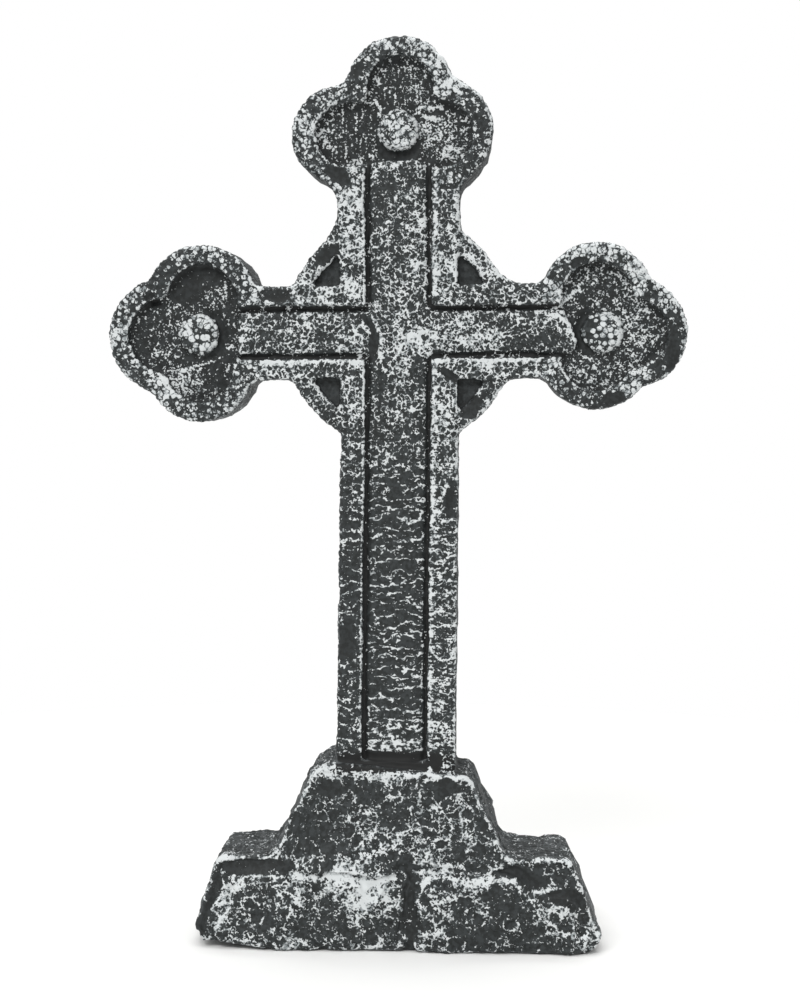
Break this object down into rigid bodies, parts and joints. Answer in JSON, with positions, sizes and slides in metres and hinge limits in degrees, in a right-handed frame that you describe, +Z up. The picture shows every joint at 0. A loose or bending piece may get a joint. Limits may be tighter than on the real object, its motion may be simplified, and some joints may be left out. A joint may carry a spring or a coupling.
{
  "type": "foam celtic cross headstone prop",
  "caption": "Free-standing garden prop of a ringed cross headstone with trefoil ends on a stepped rock-faced base, moulded in painted foam.",
  "frame": {"origin": "on the ground, under the middle of the whole object's box", "axes": "+Z up, +X to the viewer's right, carved front faces -Y"},
  "size_m": [0.376, 0.078, 0.5993],
  "materials": {
    "painted_foam": "moulded bead foam, coated matt dark grey and dry-brushed off-white on the raised carving"
  },
  "bodies": {
    "root": {"headstone": "painted_foam"}
  },
  "joints": []
}
